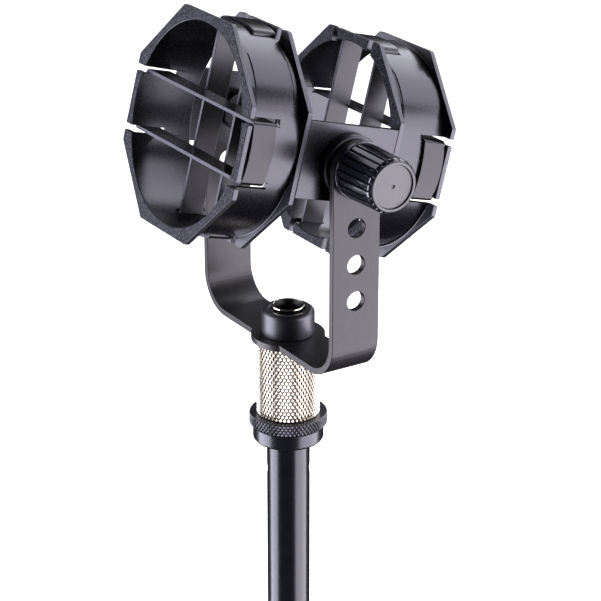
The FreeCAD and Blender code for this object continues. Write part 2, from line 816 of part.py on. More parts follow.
def make_knob():
    """Fluted hand knob with a skirt, a socket for its screw and a seat for its end cap."""
    skirt = cell("skirt_diameter") / 2
    near = cell("knob_diameter") / 2
    far = cell("knob_end_diameter") / 2
    chamfer = cell("knob_end_chamfer")
    skirt_top = skirt_base + cell("skirt_thickness")
    edge = cell("edge_break")
    seat = cell("knob_cap_diameter") / 2 + cell("seat_clearance")
    seat_base = knob_end - cell("knob_cap_thickness") - cell("edge_break")
    socket = screw_radius + cell("seat_clearance")
    socket_end = skirt_base + cell("knob_socket")
    body = turned("pivot_knob", [
        (socket, skirt_base),
        (skirt - edge, skirt_base),
        (skirt, skirt_base + edge),
        (skirt, skirt_top - edge),
        (skirt - edge, skirt_top),
        (near, skirt_top),
        (far, knob_end - chamfer),
        (far - chamfer, knob_end),
        (seat, knob_end),
        (seat, seat_base),
        (0, seat_base),
        (0, socket_end),
        (socket, socket_end)])
    flute = new_sketch(body, "XY_Plane", "flute_outline", skirt_top + edge)
    centre = near + cell("flute_radius") - cell("flute_depth")
    draw_circle(flute, cell("flute_radius"), (centre, 0))
    first = cut(body, flute, "first_flute", reverse=True)
    around = body.newObject("PartDesign::PolarPattern", "flutes")
    around.Originals = [first]
    around.Axis = (plane(body, "Z_Axis"), [""])
    around.Angle = 360
    around.Occurrences = FLUTE_COUNT
    body.Tip = around
    doc.recompute()
    place_on_pivot(body, -1)


def make_knob_cap():
    """Disc snapped into the knob's end, with a small dimple at its centre."""
    outer = cell("knob_cap_diameter") / 2
    face = knob_end - cell("edge_break")
    back = face - cell("knob_cap_thickness")
    dimple = cell("knob_cap_dimple")
    body = turned("knob_cap", [
        (0, back), (outer, back), (outer, face), (dimple, face), (0, face - dimple)])
    place_on_pivot(body, -1)


def make_knob_screw():
    """Steel stud fixed in the knob, screwed through the spacer into the insert."""
    start = apothem - cell("screw_reach")
    end = skirt_base + cell("knob_socket")
    edge = cell("edge_break")
    body = turned("knob_screw", [
        (0, start), (screw_radius - edge, start), (screw_radius, start + edge),
        (screw_radius, end), (0, end)])
    place_on_pivot(body, -1)


def make_pivot_screw():
    """Socket head screw, the far pivot."""
    start = apothem - cell("screw_reach")
    seat = washer_seat + cell("pivot_washer_thickness") + gap
    end = seat + cell("screw_head_height")
    head = cell("screw_head_diameter") / 2
    edge = cell("edge_break")
    body = turned("pivot_screw", [
        (0, start), (screw_radius - edge, start), (screw_radius, start + edge),
        (screw_radius, seat), (head, seat), (head, end), (0, end)])
    round_off(body, head, end, cell("screw_head_height") / 2, "screw_head_round")
    socket = new_sketch(body, "XY_Plane", "socket_outline", end - cell("screw_socket_depth"))
    half_width = cell("screw_socket") / 2
    corner = half_width / math.cos(math.pi / 6)
    draw_polygon(socket, [
        (corner, 0), (corner / 2, half_width), (-corner / 2, half_width),
        (-corner, 0), (-corner / 2, -half_width), (corner / 2, -half_width)])
    cut(body, socket, "screw_socket", reverse=True)
    place_on_pivot(body, 1)


def write_parts():
    """Stop on any failed object, then write one file for each sub-part."""
    doc.recompute()
    for item in doc.Objects:
        if "Invalid" in item.State or "Error" in item.State:
            raise RuntimeError(f"{item.Name} failed: {item.State}")
    os.makedirs("parts", exist_ok=True)
    for item in finished:
        shape = item.Shape
        if shape.isNull() or not shape.isValid() or not shape.Solids:
            raise RuntimeError(f"{item.Label} has no valid solid")
        shape.exportStep(os.path.join("parts", item.Label + ".step"))
        box = shape.BoundBox
        print(f"{item.Label:18s} {len(shape.Solids)} solid  {shape.Volume:9.1f} mm3  "
              f"x {box.XMin:7.2f} {box.XMax:7.2f}  y {box.YMin:7.2f} {box.YMax:7.2f}  "
              f"z {box.ZMin:7.2f} {box.ZMax:7.2f}")


make_stand_tube()
make_stand_stud()
make_lock_ring()
make_adapter_barrel()
make_lower_washer()
make_swivel_spring()
make_swivel_cap()
make_yoke()
far_flange_back = ring_far - cell("flange_thickness")
near_flange_back = ring_near + cell("flange_thickness")
for end_name, end_turn in (("rear", 0), ("front", 180)):
    make_ring(end_name + "_ring", cell(end_name + "_slot_reach"), end_turn)
    outer_band_start = far_flange_back - cell(end_name + "_band_inset") - cell("band_width")
    make_band(end_name + "_outer_band", outer_band_start, cell("outer_chord_offset"), False, end_turn)
    inner_band_start = near_flange_back + cell(end_name + "_inner_inset")
    make_band(end_name + "_inner_band", inner_band_start, cell("inner_chord_offset"), True, end_turn)
for side_name, side_sign in (("right", -1), ("left", 1)):
    make_side_plate(side_name + "_side_plate", side_sign)
    make_insert(side_name + "_insert", side_sign)
    make_spacer(side_name + "_spacer", side_sign)
make_washer("knob_washer", cell("knob_washer_diameter"), washer_seat, cell("knob_washer_thickness"), -1)
make_washer("pivot_washer", cell("pivot_washer_diameter"), washer_seat, cell("pivot_washer_thickness"), 1)
make_knob()
make_knob_cap()
make_knob_screw()
make_pivot_screw()
write_parts()
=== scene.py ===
import math

import bmesh
import bpy
import numpy as np
from mathutils import Matrix, Vector


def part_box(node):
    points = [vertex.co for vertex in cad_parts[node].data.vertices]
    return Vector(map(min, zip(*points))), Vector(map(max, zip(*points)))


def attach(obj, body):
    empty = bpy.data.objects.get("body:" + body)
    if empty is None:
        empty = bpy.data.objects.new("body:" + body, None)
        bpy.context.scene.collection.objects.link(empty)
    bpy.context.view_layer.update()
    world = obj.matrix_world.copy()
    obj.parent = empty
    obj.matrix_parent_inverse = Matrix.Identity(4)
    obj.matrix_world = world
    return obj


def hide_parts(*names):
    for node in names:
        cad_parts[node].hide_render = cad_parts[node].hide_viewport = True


# The looks of a microphone shock mount on its stand tube. Lengths are in millimetres until place()
# turns a mesh into metres in the row frame.

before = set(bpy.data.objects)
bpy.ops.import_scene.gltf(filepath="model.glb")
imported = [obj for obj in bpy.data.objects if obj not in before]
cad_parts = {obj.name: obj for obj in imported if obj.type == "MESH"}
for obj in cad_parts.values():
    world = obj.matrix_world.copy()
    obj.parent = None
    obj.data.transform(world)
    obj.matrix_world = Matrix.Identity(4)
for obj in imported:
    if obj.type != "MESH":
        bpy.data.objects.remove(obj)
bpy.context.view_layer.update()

MM = 0.001

# ---------------------------------------------------------------- sizes

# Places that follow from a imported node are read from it; the others are the part's own.

X, Y, Z = 0, 1, 2


def span(node, axis):
    """Lowest and highest place of a CAD node along one axis, in millimetres."""
    low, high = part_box(node)
    return low[axis] / MM, high[axis] / MM


TILT = math.radians(14.8)
PIVOT_HEIGHT = sum(span("knob_screw", Z)) / 2

TUBE_RADIUS = span("stand_tube", X)[1]
TUBE_WALL = 1.2
TUBE_TOP = span("stand_tube", Z)[1]
CRIMP_HEIGHT = 85.1
CRIMP_DEPTH = 0.75
CRIMP_REACH = 1.3
CRIMP_ANGLE = math.radians(-32.0)
CRIMP_ZONE = 3.2

SPIGOT_GAP = 0.05
COLLAR_RADIUS = 13.75
COLLAR_TOP = TUBE_TOP + 6.2
THREAD_RADIUS = 7.94
THREAD_PITCH = 0.941
THREAD_DEPTH = 0.5
THREAD_HEIGHT = THREAD_DEPTH * 0.96
THREAD_NECK = 1.6
THREAD_RUN_OUT = 0.6
STUD_BASE, STUD_TOP = span("stand_stud", Z)

LOCK_RADIUS = span("lock_ring", X)[1]
LOCK_BASE, LOCK_TOP = span("lock_ring", Z)
TAPPED_RADIUS = 8.0

BARREL_RADIUS = span("adapter_barrel", X)[1]
BARREL_BASE, FLARE_TOP = span("adapter_barrel", Z)
BARREL_TOP = span("lower_washer", Z)[0]
NECK_RADIUS = 5.7
NECK_HOLE = NECK_RADIUS + 0.06
NECK_DEPTH = 7.0
NECK_BORE = 4.8
FLARE_RADIUS = 6.35
FLARE_HEIGHT = 2.0
FLARE_MOUTH = 5.5

CAP_RADIUS = 10.2
CAP_BASE, CAP_TOP = span("swivel_cap", Z)
CAP_MOUTH = 6.6
CAP_MOUTH_DEPTH = 1.8
CAP_POCKET = 8.5
CAP_POCKET_DEPTH = 1.6

STRAP = 2.55
STRAP_WIDTH = 20.0
STRAP_BASE = span("yoke", Z)[0]
ARM_OUTER = span("yoke", Y)[1]
PAD_RADIUS = span("yoke", X)[1]
BEND_RADIUS = 15.0
ARM_HOLE = 3.6
ARM_HOLE_DROPS = (0.0, 22.2, 36.2, 50.2)

RING_NEAR = 19.1
RING_FAR = 44.7
FLAT = 40.1
WALL_OUTER = 38.7
WALL_INNER = 37.0
FLANGE = 2.05
SLOT_WIDTH = 2.7
OUTER_SLOT_OFFSET = 11.3
INNER_SLOT_OFFSET = 11.5
SLOT_REACH = {"front": 15.0, "rear": 13.0}
INNER_SLOT_REACH = 14.0
BAND_WIDTH = 9.4
BAND_THICK = 1.3
BAND_CLEAR = 0.05
BAND_FOLD = 1.15
OUTER_CHORD = 10.7
INNER_CHORD = 11.2
OUTER_BAND_START = {"front": 32.0, "rear": 32.95}
INNER_BAND_START = {"front": 22.45, "rear": 22.95}

PLATE_THICK = 2.8
PLATE_HEIGHT = 28.0
PLATE_SEAT_GAP = 0.03
BOSS_RADIUS = 7.5
BOSS_END = 33.1
INSERT_RADIUS = 4.0
INSERT_END = 33.5

PIVOT_HOLE = 2.56
SPACER_RADIUS = 11.5
SPACER_FACE = 43.8
SPACER_SLEEVE = 3.54
SPACER_END = 46.2
WASHER_BASE = 46.6

KNOB_BASE = -span("pivot_knob", Y)[1]
KNOB_END = -span("pivot_knob", Y)[0]
KNOB_BORE = 2.55
SKIRT_RADIUS = 10.7
SKIRT_TOP = KNOB_BASE + 1.5
LAND_RADII = (10.4, 10.0)
GROOVE_FLOOR = 9.25
LAND_SHARE = 0.62
LAND_CROWN = 0.02
RECESS_RADIUS = 7.88
FLUTES = 24
DISC_BASE = KNOB_END - 1.9

SCREW_END = 34.1
SCREW_RADIUS = 2.5
HEAD_BASE = 47.95
HEAD_TOP = 50.7
HEAD_RADIUS = 4.75
SOCKET = 1.5
SOCKET_DEPTH = 1.8
SERRATIONS = 40
SERRATION_DEPTH = 0.09


# ---------------------------------------------------------------- outlines

NEXT_TO_NOTHING = 1e-9
NEARLY_STRAIGHT = math.radians(89)
SHARE_OF_A_SIDE = 0.48  # the most of a side that one corner's round may take


def softened(points, radius, steps=3, closed=True):
    """An outline with its corners rounded. A point may carry its own radius as a third value."""
    count = len(points)
    made = []
    for index, point in enumerate(points):
        corner = Vector(point[:2])
        size = point[2] if len(point) > 2 else radius
        if not closed and index in (0, count - 1):
            size = 0
        before = Vector(points[index - 1][:2]) - corner
        after = Vector(points[(index + 1) % count][:2]) - corner
        if size <= 0 or min(before.length, after.length) < NEXT_TO_NOTHING:
            made.append(tuple(corner))
            continue
        half = before.angle(after) / 2
        if half > NEARLY_STRAIGHT:
            made.append(tuple(corner))
            continue
        cut = min(size / math.tan(half), before.length * SHARE_OF_A_SIDE, after.length * SHARE_OF_A_SIDE)
        size = cut * math.tan(half)
        before.normalize()
        after.normalize()
        centre = corner + (before + after).normalized() * (size / math.sin(half))
        first = corner + before * cut - centre
        last = corner + after * cut - centre
        turn = math.atan2(first.x * last.y - first.y * last.x, first.dot(last))
        for step in range(steps + 1):
            angle = turn * step / steps
            made.append((centre.x + first.x * math.cos(angle) - first.y * math.sin(angle),
                         centre.y + first.x * math.sin(angle) + first.y * math.cos(angle)))
    return made


def circle(radius, centre=(0, 0), count=48, start=0.0, turn=math.tau):
    """Points round a circle, or along an arc of it when turn is less than a full one."""
    full = math.isclose(abs(turn), math.tau)
    steps = count if full else count - 1
    return [(centre[0] + radius * math.cos(start + turn * i / steps),
             centre[1] + radius * math.sin(start + turn * i / steps)) for i in range(count)]


# ---------------------------------------------------------------- meshes

def grid_mesh(name, points):
    """A mesh through a grid of points, closed both ways."""
    rows, columns = points.shape[:2]
    vertices = points.reshape(-1, 3)
    faces = []
    for i in range(rows):
        for j in range(columns):
            after_i, after_j = (i + 1) % rows, (j + 1) % columns
            faces.append((i * columns + j, after_i * columns + j, after_i * columns + after_j,
                          i * columns + after_j))
    mesh = bpy.data.meshes.new(name)
    mesh.from_pydata(vertices.tolist(), [], faces)
    clean(mesh)
    return mesh


def clean(mesh, merge=1e-5):
    """Merge points that lie together and turn every face outwards."""
    work = bmesh.new()
    work.from_mesh(mesh)
    bmesh.ops.remove_doubles(work, verts=work.verts, dist=merge)
    bmesh.ops.dissolve_degenerate(work, edges=work.edges, dist=merge)
    bmesh.ops.recalc_face_normals(work, faces=work.faces)
    work.to_mesh(mesh)
    work.free()


def lathe(name, profile, angles=160, reshape=None):
    """A solid turned about Z. reshape(angle, radius, height) gives the new radius of every point."""
    turns = np.arange(angles) / angles * math.tau if isinstance(angles, int) else np.asarray(angles)
    outline = np.array(profile, float)
    radius = np.broadcast_to(outline[:, 0], (len(turns), len(outline)))
    height = np.broadcast_to(outline[:, 1], radius.shape)
    angle = np.broadcast_to(turns[:, None], radius.shape)
    if reshape is not None:
        radius = reshape(angle, radius, height)
    points = np.stack([radius * np.cos(angle), radius * np.sin(angle), height], axis=-1)
    return grid_mesh(name, points)


def drop_axis_faces(mesh):
    """Faces that a closed outline leaves along the axis have no area and are taken out."""
    work = bmesh.new()
    work.from_mesh(mesh)
    flat = [face for face in work.faces if face.calc_area() < NEXT_TO_NOTHING]
    bmesh.ops.delete(work, geom=flat, context="FACES")
    work.to_mesh(mesh)
    work.free()


def sweep(name, path, section):
    """A closed loop in the YZ plane with a section of (across the plane, off the path) points."""
    line = np.array(path, float)
    ahead = np.roll(line, -1, axis=0) - line
    behind = line - np.roll(line, 1, axis=0)
    ahead /= np.linalg.norm(ahead, axis=1)[:, None]
    behind /= np.linalg.norm(behind, axis=1)[:, None]
    tangent = ahead + behind
    tangent /= np.linalg.norm(tangent, axis=1)[:, None]
    normal = np.stack([tangent[:, 1], -tangent[:, 0]], axis=1)
    points = np.zeros((len(line), len(section), 3))
    for index, (across, off) in enumerate(section):
        points[:, index, 0] = across
        points[:, index, 1:] = line + normal * off
    return grid_mesh(name, points)


SHARPEST_MITRE = 0.5


def inset(outline, distance):
    """An outline moved inwards; outer outlines run anticlockwise and holes clockwise."""
    line = np.array(outline, float)
    ahead = np.roll(line, -1, axis=0) - line
    behind = line - np.roll(line, 1, axis=0)
    ahead /= np.linalg.norm(ahead, axis=1)[:, None]
    behind /= np.linalg.norm(behind, axis=1)[:, None]
    tangent = ahead + behind
    tangent /= np.linalg.norm(tangent, axis=1)[:, None]
    half_turn = np.clip((ahead * tangent).sum(axis=1), SHARPEST_MITRE, 1)
    return line + np.stack([-tangent[:, 1], tangent[:, 0]], axis=1) * (distance / half_turn)[:, None]


def slab(name, outlines, thickness, edge, stations=(), steps=3):
    """A flat plate centred on the XY plane, with rounded edges, cut into strips across X at stations."""
    levels = []
    for side in (-1, 1):
        arc = [math.pi / 2 * step / steps for step in range(steps + 1)]
        for angle in (arc if side > 0 else reversed(arc)):
            level = thickness / 2 - edge + edge * math.sin(angle)
            levels.append((edge * (1 - math.cos(angle)), side * level))
    work = bmesh.new()
    rims = ([], [])
    for outline in outlines:
        rings = []
        for distance, level in levels:
            rings.append([work.verts.new((x, y, level)) for x, y in inset(outline, distance)])
        for low, high in zip(rings, rings[1:]):
            for i in range(len(low)):
                work.faces.new((low[i - 1], low[i], high[i], high[i - 1]))
        for rim, ring in zip(rims, (rings[0], rings[-1])):
            rim.extend(work.edges.get((ring[i - 1], ring[i])) for i in range(len(ring)))
    for rim in rims:
        bmesh.ops.triangle_fill(work, use_beauty=True, use_dissolve=False, edges=rim)
    for station in stations:
        geometry = work.verts[:] + work.edges[:] + work.faces[:]
        bmesh.ops.bisect_plane(work, geom=geometry, plane_co=(station, 0, 0), plane_no=(1, 0, 0))
    mesh = bpy.data.meshes.new(name)
    work.to_mesh(mesh)
    work.free()
    clean(mesh)
    return mesh


def box_mesh(name, low, high):
    """A closed box between two corners."""
    work = bmesh.new()
    bmesh.ops.create_cube(work, size=1)
    for vertex in work.verts:
        for axis in range(3):
            vertex.co[axis] = low[axis] if vertex.co[axis] < 0 else high[axis]
    mesh = bpy.data.meshes.new(name)
    work.to_mesh(mesh)
    work.free()
    return mesh


def as_object(mesh):
    thing = bpy.data.objects.new(mesh.name, mesh)
    bpy.context.scene.collection.objects.link(thing)
    return thing


def applied(thing):
    """The object's mesh with its modifiers worked in; the modifiers go."""
    bpy.context.view_layer.update()
    graph = bpy.context.evaluated_depsgraph_get()
    mesh = bpy.data.meshes.new_from_object(thing.evaluated_get(graph), depsgraph=graph)
    thing.modifiers.clear()
    thing.data = mesh
    return mesh


def combined(mesh, others, operation):
    """Boolean of a mesh with several others."""
    thing = as_object(mesh)
    tools = [as_object(other) for other in others]
    for tool in tools:
        step = thing.modifiers.new("step", "BOOLEAN")
        step.operation = operation
        step.object = tool
        step.solver = "EXACT"
    made = applied(thing)
    for leftover in (thing, *tools):
        bpy.data.objects.remove(leftover)
    return made


def bevelled(mesh, width, angle=50, segments=2):
    """Round the edges that are sharper than an angle."""
    thing = as_object(mesh)
    bevel = thing.modifiers.new("bevel", "BEVEL")
    bevel.limit_method = "ANGLE"
    bevel.angle_limit = math.radians(angle)
    bevel.width = width
    bevel.segments = segments
    bevel.use_clamp_overlap = True
    made = applied(thing)
    bpy.data.objects.remove(thing)
    return made


# ---------------------------------------------------------------- places

UPRIGHT = Matrix.Identity(4)
CRADLE = Matrix.Translation((0, 0, PIVOT_HEIGHT)) @ Matrix.Rotation(TILT, 4, "Y")
CRADLE_TURNED = CRADLE @ Matrix.Rotation(math.pi, 4, "Z")


SIDES = (("right", -1), ("left", 1))


def on_pivot(side):
    """Lays something turned about Z along the tilt axis; side -1 is the knob's side."""
    return Matrix.Translation((0, 0, PIVOT_HEIGHT)) @ Matrix.Rotation(-math.pi / 2 * side, 4, "X")


def place(mesh, name, where, body, materials, replaced=(), smooth=35, even=True):
    """Put a mesh in the row frame, shade it and let it ride on its body. even shades flat faces flat."""
    mesh.transform(Matrix.Scale(MM, 4) @ where)
    piece = as_object(mesh)
    piece.name = name
    mesh.name = name
    mesh.polygons.foreach_set("use_smooth", [True] * len(mesh.polygons))
    mesh.set_sharp_from_angle(angle=math.radians(smooth))
    if not mesh.materials:
        for material in materials:
            mesh.materials.append(material)
    if even:
        shading = piece.modifiers.new("even_shading", "WEIGHTED_NORMAL")
        shading.keep_sharp = True
    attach(piece, body)
    if replaced:
        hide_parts(*replaced)
    return piece


# ---------------------------------------------------------------- materials

def links_of(material):
    tree = material.node_tree
    return tree.nodes, tree.links


def noise(material, scale, detail=3.0, roughness=0.55, stretch=None):
    """Noise in the piece's own coordinates. scale is features per metre; stretch scales each axis."""
    nodes, links = links_of(material)
    place_node = nodes.new("ShaderNodeTexCoord")
    texture = nodes.new("ShaderNodeTexNoise")
    texture.inputs["Scale"].default_value = scale
    texture.inputs["Detail"].default_value = detail
    texture.inputs["Roughness"].default_value = roughness
    source = place_node.outputs["Object"]
    if stretch:
        mapping = nodes.new("ShaderNodeMapping")
        mapping.inputs["Scale"].default_value = stretch
        links.new(source, mapping.inputs["Vector"])
        source = mapping.outputs["Vector"]
    links.new(source, texture.inputs["Vector"])
    return texture.outputs["Fac"]


def between(material, factor, low, high, start=0.3, end=0.7):
    """Maps a factor from start..end to low..high."""
    nodes, links = links_of(material)
    node = nodes.new("ShaderNodeMapRange")
    node.inputs["From Min"].default_value = start
    node.inputs["From Max"].default_value = end
    node.inputs["To Min"].default_value = low
    node.inputs["To Max"].default_value = high
    links.new(factor, node.inputs["Value"])
    return node.outputs["Result"]


def blended(material, factor, first, second, start=0.3, end=0.7):
    """Colour between two others by a factor."""
    nodes, links = links_of(material)
    ramp = nodes.new("ShaderNodeValToRGB")
    ramp.color_ramp.elements[0].position = start
    ramp.color_ramp.elements[0].color = (*first, 1)
    ramp.color_ramp.elements[1].position = end
    ramp.color_ramp.elements[1].color = (*second, 1)
    links.new(factor, ramp.inputs["Fac"])
    return ramp.outputs["Color"]


def bumped(material, height, depth, normal=None):
    """A bump of a depth in metres from a height of 0 to 1."""
    nodes, links = links_of(material)
    node = nodes.new("ShaderNodeBump")
    node.inputs["Strength"].default_value = 1.0
    node.inputs["Distance"].default_value = depth
    links.new(height, node.inputs["Height"])
    if normal is not None:
        links.new(normal, node.inputs["Normal"])
    return node.outputs["Normal"]


def material_of(name, colours, rough, mottle=260, grain=2400, grain_depth=6e-6, lines=None, lines_depth=3e-6,
                metallic=0.0, specular=0.5, tint=(1, 1, 1), spread=(0.3, 0.7)):
    """A surface whose colour and roughness vary, with a fine grain and optional turning lines."""
    material = bpy.data.materials.new(name)
    material.use_nodes = True
    nodes, links = links_of(material)
    shader = nodes["Principled BSDF"]
    shader.inputs["Metallic"].default_value = metallic
    shader.inputs["Specular IOR Level"].default_value = specular
    shader.inputs["Specular Tint"].default_value = (*tint, 1)
    patches = noise(material, mottle, detail=4)
    fine = noise(material, grain, detail=2)
    links.new(blended(material, patches, *colours, *spread), shader.inputs["Base Color"])
    links.new(between(material, fine, *rough), shader.inputs["Roughness"])
    normal = bumped(material, fine, grain_depth)
    if lines:
        rings = noise(material, 1.0, detail=2, stretch=lines)
        normal = bumped(material, rings, lines_depth, normal)
    links.new(normal, shader.inputs["Normal"])
    return material


ABOUT_Z = (20, 20, 5200)
ABOUT_Y = (20, 5200, 20)
COOL = (0.86, 0.84, 1.0)

enamel = material_of("stand_enamel", ((0.004, 0.004, 0.006), (0.006, 0.006, 0.009)), (0.20, 0.26),
                     grain=900, grain_depth=1.2e-6, tint=COOL, specular=0.42)
stud_black = material_of("stud_black", ((0.004, 0.004, 0.006), (0.007, 0.007, 0.010)), (0.2, 0.3),
                         lines=ABOUT_Z, lines_depth=2e-6, tint=COOL, specular=0.5)
lock_black = material_of("lock_ring_black", ((0.004, 0.004, 0.006), (0.008, 0.008, 0.011)), (0.26, 0.36),
                         grain_depth=3e-6, tint=COOL, specular=0.65)
nickel = material_of("nickel_plate", ((0.40, 0.36, 0.31), (0.50, 0.455, 0.395)), (0.26, 0.36), mottle=500,
                     grain=3000, grain_depth=1e-6, metallic=1.0)
bright_nickel = material_of("bright_nickel", ((0.66, 0.60, 0.52), (0.76, 0.70, 0.61)), (0.12, 0.2),
                            lines=ABOUT_Z, lines_depth=1.5e-6, grain_depth=5e-7, metallic=1.0)
# Painted shade: a near-black colour for the inside of the neck's flared mouth, standing in for the shade in
# the hollow.
bore_painted_shade = material_of("neck_bore_painted_shade", ((0.003, 0.003, 0.004), (0.006, 0.006, 0.008)), (0.35, 0.5),
                        specular=0.2)
nylon = material_of("washer_nylon", ((0.02, 0.02, 0.022), (0.035, 0.035, 0.038)), (0.45, 0.6))
cap_satin = material_of("cap_satin", ((0.0025, 0.0025, 0.004), (0.005, 0.005, 0.007)), (0.36, 0.44),
                        lines=ABOUT_Z, lines_depth=1.5e-6, grain_depth=1.5e-6, tint=COOL, specular=0.66)
powder = material_of("yoke_powder_coat", ((0.004, 0.0035, 0.005), (0.008, 0.0075, 0.0095)), (0.34, 0.43),
                     mottle=420, grain=1900, grain_depth=7e-6, tint=(0.96, 0.92, 1.0), specular=0.36)
moulding = material_of("moulded_satin", ((0.0012, 0.0012, 0.002), (0.0025, 0.0025, 0.004)), (0.22, 0.29),
                       grain=2600, grain_depth=3e-6, tint=COOL, specular=0.56)
moulding_face = material_of("moulded_grain", ((0.001, 0.001, 0.002), (0.072, 0.072, 0.098)), (0.36, 0.60),
                            mottle=1700, grain=1500, grain_depth=1.2e-4, tint=COOL, specular=0.09,
                            spread=(0.47, 0.66))
# A lighter, rougher finish for the flanges' rims. On the rings' mouth edges the same lighter colour is a
# painted highlight.
rim_finish_and_painted_highlight = material_of("moulded_rim_and_painted_highlight", ((0.005, 0.005, 0.007), (0.024, 0.024, 0.033)), (0.32, 0.46),
                           mottle=1300, grain=1500, grain_depth=3e-5, tint=COOL, specular=0.66)
rubber = material_of("band_rubber", ((0.0015, 0.0015, 0.0018), (0.003, 0.003, 0.0035)), (0.20, 0.28),
                     mottle=600, grain=3000, grain_depth=4e-6, tint=(0.90, 0.88, 1.0), specular=0.36)
# The bands' side faces: a rougher grain on the cut faces, and a lighter colour that is a painted highlight
# along the edges.
band_edge_painted_highlight = material_of("band_edge_painted_highlight", ((0.03, 0.03, 0.042), (0.07, 0.07, 0.095)), (0.5, 0.68),
                          mottle=900, grain=2200, grain_depth=1.6e-5, tint=COOL, specular=0.45)
brass = material_of("insert_brass", ((0.16, 0.11, 0.05), (0.24, 0.17, 0.08)), (0.3, 0.42),
                    lines=ABOUT_Y, metallic=1.0)
spacer_black = material_of("spacer_black", ((0.002, 0.002, 0.003), (0.004, 0.004, 0.005)), (0.30, 0.40),
                           lines=ABOUT_Y, grain_depth=3e-6, tint=COOL)
zinc = material_of("zinc_steel", ((0.55, 0.56, 0.60), (0.66, 0.67, 0.70)), (0.24, 0.36), lines=ABOUT_Y,
                   metallic=1.0)
spring = material_of("spring_steel", ((0.34, 0.34, 0.36), (0.42, 0.42, 0.44)), (0.28, 0.4), lines=ABOUT_Z,
                     metallic=1.0)
knob_gloss = material_of("knob_gloss", ((0.004, 0.004, 0.007), (0.008, 0.008, 0.013)), (0.13, 0.19),
                         grain=1200, grain_depth=1e-6, tint=COOL, specular=0.72)
knob_satin = material_of("knob_face_satin", ((0.008, 0.008, 0.011), (0.014, 0.014, 0.018)), (0.40, 0.48),
                         grain_depth=3e-6, tint=(0.93, 0.91, 1.0), specular=0.68)
oxide = material_of("screw_black_oxide", ((0.012, 0.012, 0.013), (0.022, 0.022, 0.023)), (0.26, 0.4),
                    lines=ABOUT_Y, metallic=0.6)


# ---------------------------------------------------------------- stand

def make_tube():
    """Tube with a dent on two sides, where it is squeezed on to the stud."""
    inner = TUBE_RADIUS - TUBE_WALL
    inner_edge, outer_edge, fine_edge = 0.25, 0.35, 0.1
    heights = sorted({*np.linspace(0.4, TUBE_TOP - 0.2, 24),
                      *np.linspace(CRIMP_HEIGHT - CRIMP_ZONE, CRIMP_HEIGHT + CRIMP_ZONE, 25)})
    profile = [(inner, inner_edge), (inner + inner_edge, 0), (TUBE_RADIUS - outer_edge, 0),
               (TUBE_RADIUS - fine_edge, fine_edge)]
    profile += [(TUBE_RADIUS, height) for height in heights]
    profile += [(TUBE_RADIUS - fine_edge, TUBE_TOP), (inner, TUBE_TOP)]
    profile += [(inner, height) for height in reversed(heights)]

    def dent(angle, radius, height):
        depth = np.zeros_like(radius)
        for turn in (0, math.pi):
            away = (angle - CRIMP_ANGLE - turn + math.pi) % math.tau - math.pi
            distance = np.hypot(away * TUBE_RADIUS, height - CRIMP_HEIGHT)
            depth += CRIMP_DEPTH * np.exp(-(distance / CRIMP_REACH) ** 2)
        return radius - depth

    place(lathe("tube", profile, 240, dent), "tube_enamelled", UPRIGHT, "stand", [enamel],
          ["stand_tube"])


def make_stud():
    """Collar with a rounded lower edge, spigot below and thread above."""
    spigot = TUBE_RADIUS - TUBE_WALL - SPIGOT_GAP
    root = THREAD_RADIUS - THREAD_DEPTH
    middle = root + THREAD_DEPTH / 2
    thread_base = COLLAR_TOP + THREAD_NECK
    thread_top = STUD_TOP - THREAD_RUN_OUT
    profile = softened([
        (0, STUD_BASE, 0), (spigot, STUD_BASE, 0.5), (spigot, TUBE_TOP, 0.1), (COLLAR_RADIUS, TUBE_TOP, 1.4),
        (COLLAR_RADIUS, COLLAR_TOP, 0.35), (root, COLLAR_TOP, 0.1)], 0, steps=5)
    profile += [(middle, height) for height in np.arange(thread_base, thread_top, THREAD_PITCH / 6)]
    profile += [(root, STUD_TOP), (0, STUD_TOP)]

    def helix(angle, radius, height):
        phase = (height / THREAD_PITCH - angle / math.tau) % 1
        crest = THREAD_HEIGHT * (1 - 2 * np.abs(phase - 0.5))
        run_in = np.clip((height - thread_base) / THREAD_PITCH, 0, 1)
        run_out = np.clip((thread_top - height) / THREAD_PITCH, 0, 1)
        return np.where(np.isclose(radius, middle), root + crest * run_in * run_out, radius)

    mesh = lathe("stud", profile, 180, helix)
    drop_axis_faces(mesh)
    place(mesh, "stud_collar", UPRIGHT, "stand", [stud_black], ["stand_stud"])


def diamond(angle, height, starts, rise, base):
    """Height of a diamond knurl, from 0 in its grooves to 1 on its points."""
    around = angle / math.tau * starts
    along = (height - base) / rise
    first = np.abs(2 * ((around + along) % 1) - 1)
    second = np.abs(2 * ((around - along) % 1) - 1)
    return 1 - np.maximum(first, second)


def knurled(name, bore, radius, base, top, band, starts, rise, depth, flat, edge, chamfer, per=8):
    """A knurled ring: band is the knurl's lowest and highest place; flat is the share cut off its points."""
    rows = np.arange(band[0], band[1] + 1e-6, rise / per)
    profile = [(bore + edge, base), (radius - chamfer, base), (radius - edge * 0.5, band[0] - edge * 0.5)]
    first_row = len(profile)
    profile += [(radius, height) for height in rows]
    last_row = len(profile)
    profile += [(radius - edge * 0.9, top - edge * 0.5), (radius - edge * 1.8, top), (bore + edge, top),
                (bore, top - edge), (bore, base + edge)]

    def cut(angle, reach, height):
        points = diamond(angle, height, starts, rise, band[0])
        knurl = radius - depth * (1 - np.minimum(points / (1 - flat), 1))
        on_band = np.zeros(reach.shape[1], bool)
        on_band[first_row:last_row] = True
        return np.where(on_band[None, :], knurl, reach)

    return lathe(name, profile, starts * per, cut)


